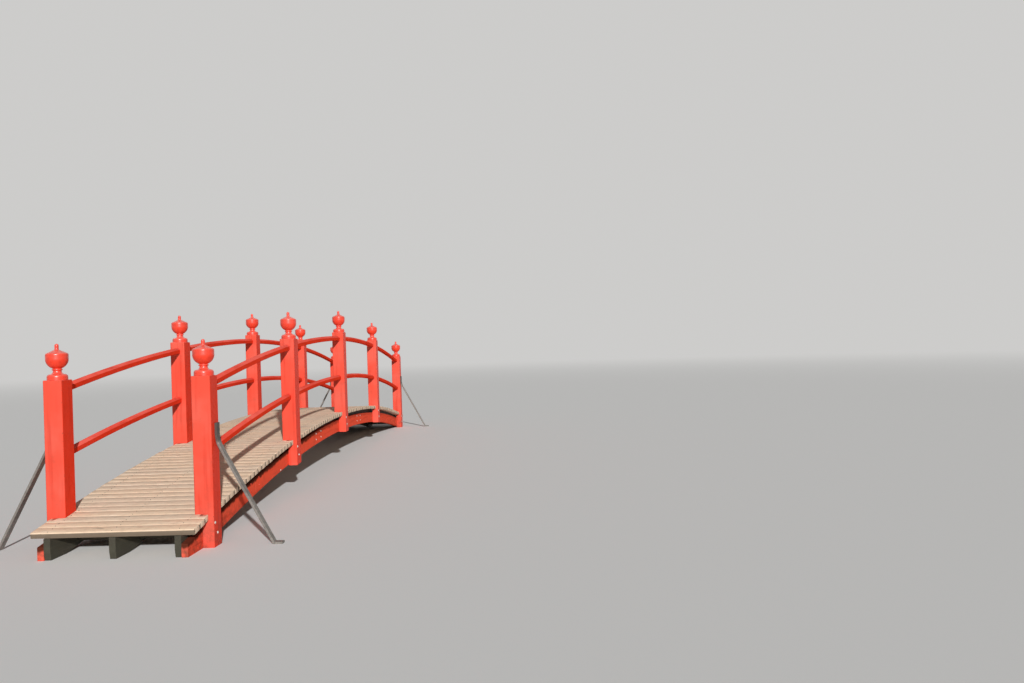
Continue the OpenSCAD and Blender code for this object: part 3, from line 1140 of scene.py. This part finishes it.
@dataclass
class Bolts(SubAssembly):
    """Bolts through the legs and the beam splices, each placed by a station and a depth below the deck."""

    arch: Arch
    leg_upper: Pair = (-52 * MM, 73 * MM)
    leg_lower: Pair = (-8 * MM, 168 * MM)
    splice_offset: float = 105 * MM
    splice_depths: Pair = (130 * MM, 200 * MM)
    single_offset: float = 354 * MM
    single_depth: float = 242 * MM
    large: BoltHead = BoltHead()
    small: BoltHead = BoltHead(washer_radius=9 * MM, head_radius=7 * MM, head_rise=4 * MM)

    def leg_spots(self) -> list[Pair]:
        """Places of the bolts through the legs of one row."""
        offsets = (self.leg_upper, self.leg_lower)
        return [(x + offset, depth) for x in self.arch.post_middles for offset, depth in offsets]

    def splice_spots(self, inner: bool) -> list[Pair]:
        """Places of the bolts through one fascia.

        Args:
            inner: Whether the inner bays are meant, with a lone bolt near each end, or the outer ones.

        Returns:
            The places.
        """
        posts = self.arch.post_middles
        spots = []
        for first, second in zip(posts, posts[1:]):
            if inner is (abs(first + second) < second - first + MM):
                for sign in (-1, 1):
                    x = (first + second) / 2 + sign * self.splice_offset
                    spots += [(x, depth) for depth in self.splice_depths]
        if inner:
            for x, sign in ((posts[1], -1), (posts[-2], 1)):
                spots.append((x + sign * self.single_offset, self.single_depth))
        return spots

    def build(self) -> list[Object]:
        """Fits the bolts of both rows.

        Returns:
            The bolts of the legs, of the inner splices and, painted over, of the outer ones.
        """
        zinc = ZincPlate().material()
        paint = VermilionPaint(Grain.TURNED, soiling=0.30).material()
        pieces = []
        for side in Side:
            leg = side.outer(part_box(f"{side.word}_post_3"))
            beam = side.outer(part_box(f"{side.word}_fascia"))
            for name, head, plane, spots, finish, slot in (
                ("leg_bolts", self.large, leg, self.leg_spots(), zinc, Slot.STEEL),
                ("beam_bolts", self.small, beam, self.splice_spots(True), zinc, Slot.STEEL),
                ("painted_bolts", self.small, beam, self.splice_spots(False), paint, Slot.PAINT),
            ):
                bm = bmesh.new()
                for x, depth in spots:
                    head.add(bm, Vector((x, plane, self.arch.height_at(x) - depth)), side.outward)
                pieces.append(make_piece(f"{name}_{side.word}", bm, finish))
        return pieces


@dataclass
class Braces(SubAssembly):
    """Steel braces from the end posts down to the bank, with the bolts through their tabs."""

    edge: float = 1.5 * MM
    bar_thickness: float = 18 * MM
    tab_length: float = 145 * MM
    tab_bolts: Pair = (35 * MM, 105 * MM)
    head: BoltHead = BoltHead(washer_radius=11 * MM, washer_rise=1.5 * MM)

    def build(self) -> list[Object]:
        """Dresses the braces and bolts their tabs.

        Returns:
            The braces and one piece of bolts for each row.
        """
        steel = GreySteel(bend_height=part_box("right_brace_1")[1].z - self.tab_length).material()
        pieces = []
        for side in Side:
            bolts = bmesh.new()
            for i in END_POSTS:
                pieces.append(dress(f"{side.word}_brace_{i}", steel, self.edge))
                low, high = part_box(f"{side.word}_brace_{i}")
                plane = side.outer(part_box(f"{side.word}_post_{i}")) + side.value * self.bar_thickness
                for drop in self.tab_bolts:
                    self.head.add(bolts, Vector(((low.x + high.x) / 2, plane, high.z - drop)), side.outward)
            pieces.append(make_piece(f"brace_bolts_{side.word}", bolts, steel))
        return pieces


@dataclass
class Studio:
    """Pale floor, backdrop, soft light and the photo's camera, with angles in degrees."""

    backdrop: Colour = (0.61, 0.605, 0.595)
    soft_light: Colour = (1.0, 1.0, 1.0)
    floor_radius: float = 120.0
    floor_sides: int = 96
    key_azimuth: float = 19.8
    key_height: float = 20.8
    key_strength: float = 3.65
    key_angle: float = 1.3
    world_strength: float = 0.13
    sensor_width: float = 36.0
    focal_length: float = 27.77
    eye: Point = (-10.556, -3.172, 1.511)
    yaw: float = 1.43
    pitch: float = -0.17
    roll: float = -1.82

    def lay_floor(self) -> None:
        """Lays the floor as one large disc."""
        bm = bmesh.new()
        bmesh.ops.create_circle(bm, cap_ends=True, segments=self.floor_sides, radius=self.floor_radius)
        floor = finished("floor", bm, PaleFloor().material(self.backdrop))

    def hang_backdrop(self) -> None:
        """Sets the world: soft light on the bridge, and the backdrop where the camera or a gloss sees it."""
        world = bpy.data.worlds.new("backdrop")
        bpy.context.scene.world = world
        world.use_nodes = True
        sheet = NodeSheet(world)
        rays = sheet.add("LightPath").outputs
        shown = rays["Is Camera Ray"]
        for ray in ("Is Glossy Ray", "Is Transmission Ray"):
            shown = sheet.math("MAXIMUM", shown, rays[ray])
        soft = sheet.add("Background", {"Color": self.soft_light, "Strength": self.world_strength})
        seen = sheet.add("Background", {"Color": self.backdrop})
        mix = sheet.add("MixShader", {0: shown, 1: soft.outputs[0], 2: seen.outputs[0]})
        sheet.add("OutputWorld", {"Surface": mix.outputs[0]})

    def hang_lamp(self) -> None:
        """Hangs the key light."""
        lamp = bpy.data.lights.new("key", "SUN")
        lamp.energy = self.key_strength
        lamp.angle = math.radians(self.key_angle)
        azimuth, height = math.radians(self.key_azimuth), math.radians(self.key_height)
        toward = Vector((
            -math.cos(azimuth) * math.cos(height), -math.sin(azimuth) * math.cos(height), math.sin(height),
        ))
        key = put_in_scene(bpy.data.objects.new("key", lamp))
        key.rotation_euler = toward.to_track_quat("Z", "Y").to_euler()

    def aim_camera(self) -> None:
        """Puts the camera at the photo's eye point and angles."""
        lens = bpy.data.cameras.new("camera")
        lens.sensor_width = self.sensor_width
        lens.lens = self.focal_length
        lens.clip_end = 4 * self.floor_radius
        camera = put_in_scene(bpy.data.objects.new("camera", lens))
        yaw, pitch, roll = (math.radians(angle) for angle in (self.yaw, self.pitch, self.roll))
        ahead = Vector((math.cos(yaw) * math.cos(pitch), math.sin(yaw) * math.cos(pitch), -math.sin(pitch)))
        level = ahead.cross(Vector((0.0, 0.0, 1.0))).normalized()
        upright = level.cross(ahead)
        right = level * math.cos(roll) + upright * math.sin(roll)
        up = upright * math.cos(roll) - level * math.sin(roll)
        turn = Matrix((right, up, -ahead)).transposed().to_4x4()
        camera.matrix_world = Matrix.Translation(self.eye) @ turn
        bpy.context.scene.camera = camera

    def build(self) -> None:
        """Sets up everything round the bridge."""
        bpy.context.scene.view_settings.view_transform = "Standard"
        self.lay_floor()
        self.hang_backdrop()
        self.hang_lamp()
        self.aim_camera()


def report(assembly: SubAssembly, pieces: list[Object]) -> None:
    """Reports each piece of a sub-assembly."""
    for piece in pieces:
        log.info("%s: %s, %d faces", type(assembly).__name__, piece.name, len(piece.data.polygons))


def main() -> None:
    """Builds the bridge and its studio."""
    logging.basicConfig(level=logging.INFO, format="%(name)s: %(message)s")
    Studio().build()
    arch = Arch.of_the_frame()
    log.info("arch: radius %.3f m, crown %.3f m", arch.radius, arch.crown_height)
    for assembly in (PaintedTimber(arch), Underframe(), Deck(arch), Bolts(arch), Braces()):
        report(assembly, assembly.build())


if __name__ == "__main__":
    main()
